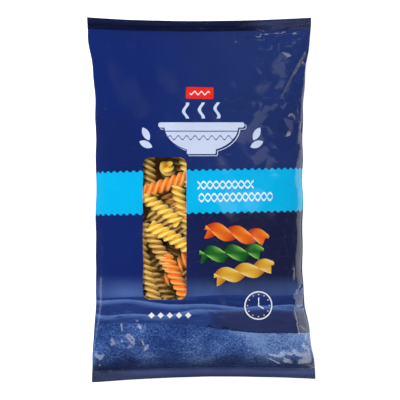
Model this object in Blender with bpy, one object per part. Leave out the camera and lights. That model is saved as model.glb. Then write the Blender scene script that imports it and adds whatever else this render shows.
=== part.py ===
"""A sealed film pillow bag of dried spiral pasta, lying on its back with its printed front up.

The bag is 284 mm long along Y and 177 mm wide along X, and rests on a flat spot at Z = 0. Its origin is
the middle of its box, at the floor. The bag is one closed solid with a window cut into its front, and the
heap of three-colour spirals that shows there is a second solid, fused from a core and the spirals on it.
"""

import math
import random

import bmesh
import bpy
import numpy as np
from mathutils import Matrix, Vector

MM = 0.001

# The bag's outline, seen from the front
HALF_LENGTH = 142.0 * MM
SEAL_DEPTH = 9.0 * MM
TOP_HALF_WIDTH = 87.1 * MM
WAIST_HALF_WIDTH = 80.0 * MM
BOTTOM_HALF_WIDTH = 86.9 * MM
TOP_FLARE_LENGTH = 95.0 * MM
BOTTOM_FLARE_LENGTH = 105.0 * MM
CENTRE_AT_TOP = -1.6 * MM
CENTRE_AT_BOTTOM = 1.8 * MM
DRIFT_LENGTH = 90.0 * MM
TOP_BOW = 3.1 * MM
BOTTOM_BOW = 3.3 * MM
BOTTOM_SKEW = 1.45 * MM
BOW_REACH = 27.0 * MM

# The bag's thickness, lying down
CROWN_HEIGHT = 45.0 * MM
HEADSPACE_DROP = 4.0 * MM
HEADSPACE_START = -20.0 * MM
HEADSPACE_LENGTH = 110.0 * MM
SEAL_HEIGHT = 11.0 * MM
SEAL_THICKNESS = 0.9 * MM
SEAL_CORNER_SAG = 3.0 * MM
SEAL_WAVE = 1.3 * MM
SEAL_WAVE_SIZE = 70.0 * MM
SIDE_HEIGHT = 18.0 * MM
TOP_RISE_LENGTH = 105.0 * MM
BOTTOM_RISE_LENGTH = 52.0 * MM
UNDER_TOP_LENGTH = 58.0 * MM
UNDER_BOTTOM_LENGTH = 38.0 * MM
FLOOR_PRESS = 2.5 * MM

# How its section goes from a flat seal to a full round body
FULL_SECTION_AT = 0.4
SIDE_RAISED_AT = 0.83
RISE_CURVE = 2.2
TOP_RISE_FULLNESS = 0.85
BOTTOM_RISE_FULLNESS = 0.75
UNDER_CURVE = 1.5
SEAL_SQUARENESS = 14.0
BODY_SQUARENESS = 2.6
BACK_SQUARENESS = 1.6
FRONT_FULLNESS = 0.58
BACK_FULLNESS = 0.52

# Relief of the film
LUMP_HEIGHT = 0.7 * MM
LUMP_SIZE = 34.0 * MM
GATHER_HEIGHT = 1.1 * MM
GATHER_SIZE = 17.0 * MM
GATHER_REACH = 16.0 * MM
EDGE_DENT = 0.4 * MM
EDGE_DENT_SIZE = 22.0 * MM
GATHER_STRETCH = 4.0
CREASE_END = 0.12

# How finely the bag's tube is divided
AROUND = 60
SEAL_ROWS = 2
BODY_ROWS = 38
END_CROWDING = 0.45

# The window in the front and the pocket behind it
WINDOW_CENTRE = (-28.0 * MM, -21.8 * MM)
WINDOW_SIZE = (33.4 * MM, 108.5 * MM)
WINDOW_CORNER = 5.6 * MM
CORNER_STEPS = 4
POCKET_FLOOR = 29.0 * MM
CLEARANCE = 0.3 * MM
ABOVE_BAG = 55.0 * MM

# One pasta spiral: three blades twisted round one axis
SPIRAL_RADIUS = 5.2 * MM
SPIRAL_LENGTH = 40.0 * MM
SPIRAL_LEAD = 16.0 * MM
BLADES = 3
BLADE_THICKNESS = 1.5 * MM
CORE_RADIUS = 1.7 * MM
STEPS_PER_LEAD = 7
FILM_GAP = 0.6 * MM
HEAP_CORE_TOP = 35.3 * MM

# The print: the pale band across the bag
BAND_BOTTOM = -8.5 * MM
BAND_TOP = 24.5 * MM

NAVY = (0.010, 0.021, 0.110, 1.0)
SKY = (0.010, 0.440, 0.850, 1.0)
PLAIN = (0.720, 0.430, 0.110, 1.0)
SPINACH = (0.200, 0.150, 0.045, 1.0)
TOMATO = (0.760, 0.200, 0.035, 1.0)

# Creases of the front: two ends as seen from the front, half width and height, in millimetres
CREASES = (
    (83, 110, 54, 70, 6.0, 2.0),
    (54, 70, 79, 82, 5.0, 1.4),
    (30, 127, 63, 130, 4.0, 1.2),
    (60, 121, 84, 129, 4.5, 1.4),
    (-60, 122, -20, 126, 5.0, 0.9),
    (70, -76, 77, -106, 4.5, 1.6),
    (-58, -99, -47, -110, 4.0, 1.4),
    (-47, -110, -60, -119, 4.5, 1.6),
    (46, -113, 62, -126, 5.0, 1.9),
    (-84, -131, -72, -121, 4.0, 1.4),
)

# Spirals that show in the window: place from its middle in millimetres, heading in degrees, how far they
# lie below the film in millimetres, and their kind
SPIRALS = (
    (-11.0, 44.0, 99, 2.4, "spinach"),
    (9.0, 47.5, 52, 1.6, "plain"),
    (-2.0, 34.5, 17, 0.0, "tomato"),
    (6.5, 20.0, -48, 3.4, "tomato"),
    (13.5, 22.0, -75, 1.6, "plain"),
    (-5.0, 15.5, -34, 0.2, "plain"),
    (5.0, 4.5, -24, 4.4, "spinach"),
    (-10.0, -8.0, -68, 2.0, "spinach"),
    (6.0, -8.5, -31, 0.0, "plain"),
    (12.0, -22.5, 50, 3.6, "tomato"),
    (8.5, -38.0, -64, 0.2, "tomato"),
    (-10.5, -40.0, -76, 0.6, "spinach"),
    (-1.5, -47.0, -55, 3.4, "plain"),
)


def clear_scene():
    """Removes what the scene holds."""
    for item in list(bpy.data.objects):
        bpy.data.objects.remove(item)


def make_material(name, colour, roughness):
    """A Principled material of one colour."""
    material = bpy.data.materials.new(name)
    material.use_nodes = True
    shader = material.node_tree.nodes["Principled BSDF"]
    shader.inputs["Base Color"].default_value = colour
    shader.inputs["Roughness"].default_value = roughness
    shader.inputs["Metallic"].default_value = 0.0
    material.diffuse_color = colour
    return material


def smooth(value):
    """Eases from 0 to 1 as the value goes from 0 to 1."""
    value = np.clip(value, 0.0, 1.0)
    return value * value * (3.0 - 2.0 * value)


def swell(distance, length, fullness):
    """Rises steeply from 0 at the seal, then levels off at 1 once the distance reaches the length."""
    left = 1.0 - np.clip(distance / length, 0.0, 1.0)
    return (1.0 - left**RISE_CURVE) ** fullness


def fade(distance, length):
    """Falls from 1 at the seal to 0 once the distance reaches the length."""
    return np.clip(1.0 - distance / length, 0.0, 1.0) ** UNDER_CURVE


def waves(x, y, size, seed, count=7):
    """A soft uneven relief between about -1 and 1: a sum of sine waves of about one size."""
    draw = random.Random(seed)
    total = np.zeros_like(x)
    for _ in range(count):
        turn = draw.uniform(0.0, math.pi)
        pitch = 2.0 * math.pi / (size * draw.uniform(0.7, 1.5))
        along = x * math.cos(turn) + y * math.sin(turn)
        total += np.sin(along * pitch + draw.uniform(0.0, 2.0 * math.pi))
    return total / math.sqrt(count)


def crease_relief(x, y):
    """The height that the film's creases add, each a ridge that dies away at its two ends."""
    total = np.zeros_like(x)
    for x0, y0, x1, y1, half_width, height in CREASES:
        start = np.array([x0, y0]) * MM
        run = np.array([x1 - x0, y1 - y0]) * MM
        share = ((x - start[0]) * run[0] + (y - start[1]) * run[1]) / run.dot(run)
        share = np.clip(share, 0.0, 1.0)
        away = np.hypot(x - start[0] - share * run[0], y - start[1] - share * run[1])
        ridge = np.clip(1.0 - away / (half_width * MM), 0.0, 1.0)
        total += height * MM * ridge * np.sin(math.pi * (CREASE_END + (1.0 - 2.0 * CREASE_END) * share))
    return total


def seen_from_front(across, along):
    """X and Y of a point of the bag: across is -1 to 1 over its width, along its Y before the ends bow."""
    from_top = HALF_LENGTH - along
    from_bottom = HALF_LENGTH + along
    flare_top = (1.0 - smooth(from_top / TOP_FLARE_LENGTH)) ** 2
    flare_bottom = (1.0 - smooth(from_bottom / BOTTOM_FLARE_LENGTH)) ** 2
    half_width = WAIST_HALF_WIDTH + (TOP_HALF_WIDTH - WAIST_HALF_WIDTH) * flare_top
    half_width += (BOTTOM_HALF_WIDTH - WAIST_HALF_WIDTH) * flare_bottom
    off_seal = smooth((np.minimum(from_top, from_bottom) - SEAL_DEPTH) / SEAL_DEPTH)
    half_width += EDGE_DENT * waves(along, across * HALF_LENGTH, EDGE_DENT_SIZE, 3) * off_seal
    drift = smooth(from_bottom / DRIFT_LENGTH)
    centre = CENTRE_AT_BOTTOM + (CENTRE_AT_TOP - CENTRE_AT_BOTTOM) * drift
    inner = 1.0 - across**2
    y = along - TOP_BOW * inner * np.exp(-from_top / BOW_REACH)
    y += (BOTTOM_BOW * inner + BOTTOM_SKEW * (1.0 + across)) * np.exp(-from_bottom / BOW_REACH)
    return centre + half_width * across, y


def seal_height(across, end):
    """Height of a seal's middle layer: it sags a little at its corners and waves along its run."""
    run = across * TOP_HALF_WIDTH
    wave = SEAL_WAVE * waves(run, end * HALF_LENGTH, SEAL_WAVE_SIZE, 11)
    return SEAL_HEIGHT - SEAL_CORNER_SAG * across**2 + wave


def bag_height(across, along, front):
    """Height of the bag's front, where front is true, or back, at the place that across and along give."""
    from_top = np.maximum(HALF_LENGTH - SEAL_DEPTH - along, 0.0)
    from_bottom = np.maximum(HALF_LENGTH - SEAL_DEPTH + along, 0.0)
    from_end = np.minimum(from_top, from_bottom)
    body = swell(from_top, TOP_RISE_LENGTH, TOP_RISE_FULLNESS)
    body = body * swell(from_bottom, BOTTOM_RISE_LENGTH, BOTTOM_RISE_FULLNESS)
    filled = smooth(body / FULL_SECTION_AT)

    seal = seal_height(across, np.sign(along))
    side = seal + (SIDE_HEIGHT - seal) * smooth(body / SIDE_RAISED_AT)
    full = CROWN_HEIGHT - HEADSPACE_DROP * smooth((along - HEADSPACE_START) / HEADSPACE_LENGTH)
    crown = seal + (full - seal) * body
    lift = fade(from_top, UNDER_TOP_LENGTH) + fade(from_bottom, UNDER_BOTTOM_LENGTH)
    under = seal * lift - FLOOR_PRESS * (1.0 - lift)

    square = SEAL_SQUARENESS + (BODY_SQUARENESS - SEAL_SQUARENESS) * filled
    arch = (1.0 - np.abs(across) ** square) ** (1.0 + (FRONT_FULLNESS - 1.0) * filled)
    belly = (1.0 - np.abs(across) ** (square + BACK_SQUARENESS)) ** (1.0 + (BACK_FULLNESS - 1.0) * filled)

    x, y = seen_from_front(across, along)
    off_seal = smooth(from_end / SEAL_DEPTH)
    gathers = GATHER_HEIGHT * waves(x, y / GATHER_STRETCH, GATHER_SIZE, 5)
    gathers = gathers * np.exp(-from_end / GATHER_REACH) * off_seal
    relief = gathers + LUMP_HEIGHT * waves(x, y, LUMP_SIZE, 8) * filled + crease_relief(x, y) * off_seal
    half_seal = 0.5 * SEAL_THICKNESS
    front_z = side + half_seal + (crown - side + relief) * arch
    back_z = side - half_seal - (side - under - gathers) * belly
    z = np.where(front, front_z, back_z)
    z = np.where(np.abs(across) > 0.9999, side, z)
    return np.maximum(z, 0.0)


def station(row):
    """The Y of a ring of the tube: even in the seals, and closer together near the seals than mid-way."""
    if row <= SEAL_ROWS:
        return -HALF_LENGTH + SEAL_DEPTH * row / SEAL_ROWS
    if row >= SEAL_ROWS + BODY_ROWS:
        return HALF_LENGTH - SEAL_DEPTH * (2 * SEAL_ROWS + BODY_ROWS - row) / SEAL_ROWS
    share = (row - SEAL_ROWS) / BODY_ROWS
    share -= END_CROWDING * math.sin(2.0 * math.pi * share) / (2.0 * math.pi)
    return (2.0 * share - 1.0) * (HALF_LENGTH - SEAL_DEPTH)


def link_mesh(name, form, collection, material):
    """Makes an object from a bmesh and links it to the collection."""
    mesh = bpy.data.meshes.new(name)
    form.to_mesh(mesh)
    form.free()
    mesh.materials.append(material)
    made = bpy.data.objects.new(name, mesh)
    collection.objects.link(made)
    return made


def make_bag(collection, navy, sky):
    """The sealed bag: a capped tube, each of whose rings is pressed to the bag's section there."""
    rows = 2 * SEAL_ROWS + BODY_ROWS
    form = bmesh.new()
    bmesh.ops.create_cone(form, cap_ends=True, segments=AROUND, radius1=1.0, radius2=1.0, depth=2.0)
    upright = [e for e in form.edges if abs(e.verts[0].co.z - e.verts[1].co.z) > 1.0]
    bmesh.ops.subdivide_edges(form, edges=upright, cuts=rows - 1, use_grid_fill=True)
    spots = np.array([v.co for v in form.verts])
    row = np.rint((spots[:, 2] + 1.0) * 0.5 * rows).astype(int)
    along = np.array([station(r) for r in row])
    turn = np.arctan2(spots[:, 1], spots[:, 0])
    across = np.cos(turn)
    x, y = seen_from_front(across, along)
    z = bag_height(across, along, np.sin(turn) > 0.0)
    for vertex, place in zip(form.verts, np.column_stack([x, y, z])):
        vertex.co = place
    bmesh.ops.triangulate(form, faces=form.faces)
    bmesh.ops.recalc_face_normals(form, faces=form.faces)
    bag = link_mesh("bag", form, collection, navy)
    bag.data.materials.append(sky)
    for face in bag.data.polygons:
        face.material_index = int(BAND_BOTTOM < face.center.y < BAND_TOP)
    return bag


def window_prism(name, inset, low, high, collection, material):
    """A rounded rectangle of the window's size, less the inset, standing from low to high."""
    corner = WINDOW_CORNER - inset
    half_x = 0.5 * WINDOW_SIZE[0] - inset - corner
    half_y = 0.5 * WINDOW_SIZE[1] - inset - corner
    form = bmesh.new()
    ring = []
    for quarter in range(4):
        side_x = 1 if quarter in (0, 3) else -1
        side_y = 1 if quarter in (0, 1) else -1
        for step in range(CORNER_STEPS + 1):
            turn = 0.5 * math.pi * (quarter + step / CORNER_STEPS)
            x = WINDOW_CENTRE[0] + side_x * half_x + corner * math.cos(turn)
            y = WINDOW_CENTRE[1] + side_y * half_y + corner * math.sin(turn)
            ring.append(form.verts.new((x, y, low)))
    base = form.faces.new(ring)
    walls = bmesh.ops.extrude_face_region(form, geom=[base])["geom"]
    raised = [item for item in walls if isinstance(item, bmesh.types.BMVert)]
    bmesh.ops.translate(form, vec=(0.0, 0.0, high - low), verts=raised)
    bmesh.ops.recalc_face_normals(form, faces=form.faces)
    return link_mesh(name, form, collection, material)


def as_helper(item):
    """Marks a cutter: it shapes other objects and isn't a piece itself."""
    item.hide_render = True
    item.display_type = "WIRE"


def join_or_cut(item, operation, other, solver="EXACT"):
    """Applies one Boolean with an object or a whole collection."""
    modifier = item.modifiers.new(operation.lower(), "BOOLEAN")
    modifier.operation = operation
    modifier.solver = solver
    modifier.material_mode = "TRANSFER"
    if isinstance(other, bpy.types.Collection):
        modifier.operand_type = "COLLECTION"
        modifier.collection = other
    else:
        modifier.object = other
    graph = bpy.context.evaluated_depsgraph_get()
    made = bpy.data.meshes.new_from_object(item.evaluated_get(graph))
    item.modifiers.clear()
    item.data = made


def keep_one_body(item):
    """Drops loose scraps that a cut left, keeping the body with the most faces."""
    form = bmesh.new()
    form.from_mesh(item.data)
    bmesh.ops.triangulate(form, faces=form.faces)
    left = set(form.faces)
    bodies = []
    while left:
        body, edge = set(), [left.pop()]
        while edge:
            face = edge.pop()
            body.add(face)
            sides = [side for side in face.edges if len(side.link_faces) == 2]
            near = {other for side in sides for other in side.link_faces} & left
            left -= near
            edge.extend(near)
        bodies.append(body)
    largest = max(bodies, key=len)
    scraps = [face for face in form.faces if face not in largest]
    bmesh.ops.delete(form, geom=scraps, context="FACES")
    form.to_mesh(item.data)
    form.free()


def make_spiral(name, length, collection, material):
    """A left-handed spiral along Z: a star-shaped bar whose sections turn as they go."""
    points = 3 * BLADES
    rings = max(2, round(length / SPIRAL_LEAD * STEPS_PER_LEAD))
    form = bmesh.new()
    bmesh.ops.create_cone(form, cap_ends=True, segments=points, radius1=1.0, radius2=1.0, depth=1.0)
    upright = [e for e in form.edges if abs(e.verts[0].co.z - e.verts[1].co.z) > 0.5]
    bmesh.ops.subdivide_edges(form, edges=upright, cuts=rings - 1, use_grid_fill=True)
    tip = math.asin(0.5 * BLADE_THICKNESS / SPIRAL_RADIUS)
    for vertex in form.verts:
        share = math.atan2(vertex.co.y, vertex.co.x) / (2.0 * math.pi)
        blade, corner = divmod(round(share * points) % points, 3)
        centre = 2.0 * math.pi * blade / BLADES
        turn = centre + (-tip, tip, math.pi / BLADES)[corner]
        radius = (SPIRAL_RADIUS, SPIRAL_RADIUS, CORE_RADIUS)[corner]
        z = vertex.co.z * length
        turn -= 2.0 * math.pi * z / SPIRAL_LEAD
        vertex.co = (radius * math.cos(turn), radius * math.sin(turn), z)
    bmesh.ops.recalc_face_normals(form, faces=form.faces)
    return link_mesh(name, form, collection, material)


def film_height(x, y):
    """Height of the bag's front over a place in the window."""
    across = np.array([(x - CENTRE_AT_TOP) / WAIST_HALF_WIDTH])
    return float(bag_height(across, np.array([y]), True)[0])


def make_heap(collection, kinds):
    """The pasta behind the window: a core with the spirals that show fused on, trimmed to the window."""
    base = POCKET_FLOOR + CLEARANCE
    heap = window_prism("pasta", CLEARANCE, base, HEAP_CORE_TOP, collection, kinds["plain"])
    spirals = bpy.data.collections.new("spirals")
    bpy.context.scene.collection.children.link(spirals)
    for number, (x, y, heading, below, kind) in enumerate(SPIRALS):
        piece = make_spiral(f"spiral_{number}", SPIRAL_LENGTH, spirals, kinds[kind])
        place = Vector((WINDOW_CENTRE[0] + x * MM, WINDOW_CENTRE[1] + y * MM, 0.0))
        place.z = film_height(place.x, place.y) - FILM_GAP - SPIRAL_RADIUS - below * MM
        turn = Matrix.Rotation(math.radians(heading), 4, "Z") @ Matrix.Rotation(math.pi / 2, 4, "Y")
        piece.matrix_world = Matrix.Translation(place) @ turn
    bpy.context.view_layer.update()
    join_or_cut(heap, "UNION", spirals, "MANIFOLD")
    for piece in list(spirals.objects):
        bpy.data.objects.remove(piece)
    bpy.data.collections.remove(spirals)
    return heap


def main():
    clear_scene()
    packet = bpy.data.collections.new("pasta_packet")
    cutters = bpy.data.collections.new("cutters")
    bpy.context.scene.collection.children.link(packet)
    bpy.context.scene.collection.children.link(cutters)
    navy = make_material("navy_film", NAVY, 0.25)
    sky = make_material("sky_film", SKY, 0.25)
    kinds = {
        "plain": make_material("plain_pasta", PLAIN, 0.55),
        "spinach": make_material("spinach_pasta", SPINACH, 0.55),
        "tomato": make_material("tomato_pasta", TOMATO, 0.55),
    }
    bag = make_bag(packet, navy, sky)
    pocket = window_prism("pocket", 0.0, POCKET_FLOOR, ABOVE_BAG, cutters, navy)
    as_helper(pocket)
    join_or_cut(bag, "DIFFERENCE", pocket)
    heap = make_heap(packet, kinds)
    trim = window_prism("trim", CLEARANCE, POCKET_FLOOR + CLEARANCE, ABOVE_BAG, cutters, kinds["plain"])
    as_helper(trim)
    join_or_cut(heap, "INTERSECT", trim, "MANIFOLD")
    keep_one_body(heap)


main()
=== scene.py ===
import math
import random

import bmesh
import bpy
import numpy as np
from mathutils import Matrix, Vector


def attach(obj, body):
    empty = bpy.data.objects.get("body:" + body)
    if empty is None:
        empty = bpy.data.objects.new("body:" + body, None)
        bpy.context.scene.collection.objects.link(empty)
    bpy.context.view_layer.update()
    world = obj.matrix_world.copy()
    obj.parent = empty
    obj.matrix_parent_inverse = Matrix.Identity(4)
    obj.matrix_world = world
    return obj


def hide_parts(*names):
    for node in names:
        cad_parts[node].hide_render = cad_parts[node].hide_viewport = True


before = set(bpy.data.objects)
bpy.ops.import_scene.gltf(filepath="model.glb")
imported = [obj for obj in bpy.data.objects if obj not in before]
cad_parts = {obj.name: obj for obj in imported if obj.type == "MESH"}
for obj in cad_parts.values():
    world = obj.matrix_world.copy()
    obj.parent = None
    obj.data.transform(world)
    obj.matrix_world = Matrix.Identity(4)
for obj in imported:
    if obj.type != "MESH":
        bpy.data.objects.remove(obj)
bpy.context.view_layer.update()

MM = 0.001
FULL_TURN = 2.0 * math.pi

# The film bag's outline, seen from the front, as the solid has it
HALF_LENGTH = 142.0 * MM
SEAL_DEPTH = 9.0 * MM
BODY_END = HALF_LENGTH - SEAL_DEPTH
TOP_HALF_WIDTH = 87.1 * MM
WAIST_HALF_WIDTH = 80.0 * MM
BOTTOM_HALF_WIDTH = 86.9 * MM
TOP_FLARE_LENGTH = 95.0 * MM
BOTTOM_FLARE_LENGTH = 105.0 * MM
CENTRE_AT_TOP = -1.6 * MM
CENTRE_AT_BOTTOM = 1.8 * MM
DRIFT_LENGTH = 90.0 * MM
TOP_BOW = 3.1 * MM
BOTTOM_BOW = 3.3 * MM
BOTTOM_SKEW = 1.45 * MM
BOW_REACH = 27.0 * MM

# Its thickness, lying down
CROWN_HEIGHT = 45.0 * MM
HEADSPACE_DROP = 4.0 * MM
HEADSPACE_START = -20.0 * MM
HEADSPACE_LENGTH = 110.0 * MM
SEAL_HEIGHT = 11.0 * MM
SEAL_THICKNESS = 0.4 * MM
SEAL_CORNER_SAG = 3.0 * MM
SEAL_WAVE = 1.3 * MM
SEAL_WAVE_SIZE = 70.0 * MM
SIDE_HEIGHT = 18.0 * MM
TOP_RISE_LENGTH = 105.0 * MM
BOTTOM_RISE_LENGTH = 52.0 * MM
UNDER_TOP_LENGTH = 58.0 * MM
UNDER_BOTTOM_LENGTH = 38.0 * MM
FLOOR_PRESS = 2.5 * MM
FULL_SECTION_AT = 0.4
SIDE_RAISED_AT = 0.83
RISE_CURVE = 2.2
TOP_RISE_FULLNESS = 0.85
BOTTOM_RISE_FULLNESS = 0.75
UNDER_CURVE = 1.5
SEAL_SQUARENESS = 14.0
BODY_SQUARENESS = 2.6
BACK_SQUARENESS = 1.6
FRONT_FULLNESS = 0.58
BACK_FULLNESS = 0.52

# Relief of the film
LUMP_HEIGHT = 0.7 * MM
LUMP_SIZE = 34.0 * MM
GATHER_HEIGHT = 1.1 * MM
GATHER_SIZE = 17.0 * MM
GATHER_REACH = 16.0 * MM
GATHER_STRETCH = 4.0
PLEAT_HEIGHT = 0.5 * MM
PLEAT_SIZE = 7.0 * MM
PLEAT_REACH = 9.0 * MM
EDGE_DENT = 0.4 * MM
EDGE_DENT_SIZE = 22.0 * MM
CRUMPLE_HEIGHT = 1.0 * MM
CRUMPLE_SIZE = 19.0 * MM
FINE_CRUMPLE_HEIGHT = 0.3 * MM
FINE_CRUMPLE_SIZE = 9.0 * MM
CREASE_END = 0.12
CRIMP_PITCH = 1.8 * MM
CRIMP_HEIGHT = 0.16 * MM
CRIMP_MARGIN = 1.2 * MM
FAINT_CRIMP = 0.3
FAINT_CRIMP_UP_TO = 10.0 * MM
FAINT_CRIMP_FADE = 40.0 * MM
SEAM_WIDTH = 12.0 * MM
SEAM_STEP = 0.5 * MM
SEAM_EDGE = 1.6 * MM
FACET_CELLS = 64

# Seeds of the uneven forms
EDGE_DENT_SEED = 3
HEAP_SEED = 4
GATHER_SEED = 5
LUMP_SEED = 8
SEAL_WAVE_SEED = 11
PLEAT_SEED = 21
CRUMPLE_SEED = 31
FINE_CRUMPLE_SEED = 57

# How finely the film is divided
AROUND = 300
SEAL_ROWS = 9
BODY_ROWS = 180
ROWS = 2 * SEAL_ROWS + BODY_ROWS
END_CROWDING = 0.45
SEAL_CUTS = 2
TUBE_EDGE = 0.99999
ACROSS_LIMIT = 0.99

# The window in the film, and the pasta that shows in it
WINDOW_CENTRE = (-28.0 * MM, -21.8 * MM)
WINDOW_SIZE = (33.4 * MM, 108.5 * MM)
WINDOW_CORNER = 5.6 * MM

SPIRAL_RADIUS = 5.6 * MM
SPIRAL_LENGTH = 42.0 * MM
SPIRAL_LEAD = 15.5 * MM
BLADES = 3
BLADE_POINTS = 10
BLADE_HALF_SPAN = 0.47
BLADE_ROUNDNESS = 0.5
BLADE_THINNING = 0.25
SPIRAL_RINGS = 56
CORE_SHARE = 0.46
FILM_GAP = 0.9 * MM

# How much one spiral differs from the next
SPIRAL_BOW = 1.6 * MM
SPIRAL_GIRTHS = (0.95, 1.05)
SPIRAL_STRETCHES = (0.92, 1.04)
RIPPLE_HEIGHT = 0.12 * MM

# Creases of the front: two ends, half width and height, in millimetres
CREASES = (
    (83, 110, 54, 70, 6.0, 0.7),
    (54, 70, 79, 82, 5.0, 1.4),
    (30, 127, 63, 130, 4.0, 1.2),
    (60, 121, 84, 129, 4.5, 1.4),
    (-60, 122, -20, 126, 5.0, 0.9),
    (70, -76, 77, -106, 4.5, 1.6),
    (-58, -99, -47, -110, 4.0, 1.4),
    (-47, -110, -60, -119, 4.5, 1.6),
    (46, -113, 62, -126, 5.0, 1.9),
    (-84, -131, -72, -121, 4.0, 1.4),
    (30, 118, 52, 92, 7.0, 0.8),
    (22, 92, 50, 118, 8.0, 0.7),
    (70, 40, 46, 56, 3.0, 0.7),
    (76, 24, 52, 30, 3.0, 0.6),
    (78, -60, 70, -84, 3.5, 1.2),
    (64, -96, 80, -90, 3.0, 1.1),
    (66, -104, 82, -110, 3.0, 1.2),
    (-72, -96, -62, -116, 4.0, 1.3),
    (-38, -112, -52, -124, 3.0, 1.1),
    (-80, 118, -50, 130, 4.5, 0.9),
    (-30, 131, 20, 130, 3.0, 0.8),
)

# Folds that cross the seals, in the same form
SEAL_FOLDS = (
    (28, 131, 55, 133.5, 2.4, 0.9),
    (50, 132.5, 92, 138.5, 2.2, 1.1),
    (-60, 136, -20, 134, 3.0, 0.5),
    (-90, -137, -60, -134, 3.0, 0.7),
    (40, -136, 86, -137, 3.0, 0.6),
)

# Spirals in the window, in millimetres and degrees: place from its middle, heading, tilt, roll, depth, kind
TOP_SPIRALS = (
    (-11.0, 44.0, -84, 0, 20, 2.0, "spinach"),
    (7.1, 37.5, -60, -55, 0, 0.6, "plain"),
    (15.0, 52.0, -76, 4, 60, 3.2, "plain"),
    (-1.0, 34.0, 18, 2, 90, 0.0, "tomato"),
    (8.0, 18.5, -40, 12, 0, 3.4, "tomato"),
    (14.5, 13.5, -76, -4, 30, 3.4, "plain"),
    (-6.0, 16.0, -35, 2, 10, 0.2, "plain"),
    (5.5, 3.5, -24, -2, 0, 4.6, "spinach"),
    (-13.0, 4.0, -20, 4, 70, 5.4, "spinach"),
    (7.0, -9.0, -31, 0, 40, 0.0, "plain"),
    (-6.5, -13.0, -58, 3, 0, 2.2, "spinach"),
    (-17.0, -19.0, -86, 0, 45, 2.4, "plain"),
    (13.0, -25.0, 52, 4, 15, 4.4, "tomato"),
    (9.0, -38.0, -64, 2, 80, 0.4, "tomato"),
    (-11.5, -40.5, -74, 4, 30, 0.6, "spinach"),
    (-1.0, -46.5, -58, -3, 0, 4.6, "spinach"),
    (-6.0, -57.5, -12, 2, 55, 3.6, "plain"),
)

# The spirals in two layers below them, in three columns, and how far each strays, in the same units
LAYERS_BELOW = (8.5, 15.0)
LAYER_SPIRALS = 14
LAYER_COLUMNS = (-14.0, 3.0, 18.0)
LAYER_TOP = 60.0
LAYER_STEP = 9.0
STRAY = {"x": (-4.0, 4.0), "y": (-3.0, 3.0), "below": (-1.0, 1.5)}
ANGLES = {"heading": (-90.0, 90.0), "tilt": (-8.0, 8.0), "roll": (0.0, 120.0)}

# Where the film's mesh is crumpled: a place, its reach in X and Y, in millimetres, and how much it adds
CRUMPLED_AREAS = (
    (62, 50, 28, 40, 0.45),
    (-58, -112, 36, 20, 0.9),
    (70, -98, 20, 36, 0.8),
    (40, 118, 44, 14, 0.45),
    (20, -122, 60, 8, 0.5),
)
CRUMPLED_AT_EDGE = 0.65
CRUMPLED_ON_BACK = 0.45
CALM_REACH = (26, 66)

# Sharp fine creases, in the same form as the wide ones
FINE_CREASES = (
    (31, 131, 43.5, 132, 0.6, 0.55),
    (43.5, 132, 53, 129.3, 0.7, 0.65),
    (53, 129.3, 61, 131, 0.8, 0.75),
    (61, 131, 67.3, 134, 1.3, 1.2),
    (67.3, 134, 86, 137.2, 0.6, 0.55),
    (55, 126.3, 77, 131.8, 0.6, 0.5),
    (35.2, 125.2, 47.7, 124.2, 1.2, 0.7),
    (79, 113, 70.4, 98, 2.2, 2.0),
    (70.4, 98, 61.6, 81, 1.5, 1.5),
    (77.6, 106, 81, 103.5, 1.4, 0.5),
    (-57.5, -124.5, -46.0, -113.0, 2.4, 1.2),
    (-60, -104.5, -57.9, -109.5, 1.3, 1.0),
    (-46.6, -105.5, -44.5, -111.5, 1.3, 1.0),
    (-80.7, -123, -78.6, -130.4, 1.2, 0.9),
    (-82.7, -135.6, -70.3, -132.5, 0.8, 0.7),
    (77.6, -65.7, 71.4, -71.9, 1.4, 1.1),
    (79.7, -81.2, 71.4, -83.3, 1.1, 0.9),
    (75.6, -95.7, 80.7, -99.9, 1.0, 0.8),
    (40.4, -118.5, 43.5, -124.7, 1.7, 1.05),
    (44.6, -118.5, 60, -126.7, 1.2, 0.9),
)

# Where the film's finish has small facets: a place, its reach in X and Y, in millimetres, and how much
CRUMPLED_SPOTS = (
    (60, 54, 28, 42, 0.9),
    (68, 104, 16, 20, 0.8),
    (48, 124, 44, 9, 0.4),
    (-60, -110, 32, 24, 0.9),
    (74, -92, 16, 36, 0.9),
    (10, -124, 70, 8, 0.5),
)


def mm(*lengths):
    """Lengths in millimetres as metres."""
    return tuple(size * MM for size in lengths)


def srgb(code):
    """A printed colour, given as a hex code, as the linear colour that a shader takes."""
    parts = [int(code[i:i + 2], 16) / 255.0 for i in (1, 3, 5)]
    return tuple(p / 12.92 if p <= 0.04045 else ((p + 0.055) / 1.055) ** 2.4 for p in parts) + (1.0,)


def smooth(value):
    """Eases from 0 to 1 as the value goes from 0 to 1."""
    value = np.clip(value, 0.0, 1.0)
    return value * value * (3.0 - 2.0 * value)


def swell(distance, length, fullness):
    """Rises steeply from 0 at the seal, then levels off at 1 once the distance reaches the length."""
    left = 1.0 - np.clip(distance / length, 0.0, 1.0)
    return (1.0 - left**RISE_CURVE) ** fullness


def fade(distance, length):
    """Falls from 1 at the seal to 0 once the distance reaches the length."""
    return np.clip(1.0 - distance / length, 0.0, 1.0) ** UNDER_CURVE


def waves(x, y, size, seed, count=7):
    """A soft uneven relief between about -1 and 1: a sum of sine waves of about one size."""
    draw = random.Random(seed)
    total = np.zeros_like(x)
    for _ in range(count):
        turn = draw.uniform(0.0, math.pi)
        pitch = FULL_TURN / (size * draw.uniform(0.7, 1.5))
        along = x * math.cos(turn) + y * math.sin(turn)
        total += np.sin(along * pitch + draw.uniform(0.0, FULL_TURN))
    return total / math.sqrt(count)


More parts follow.
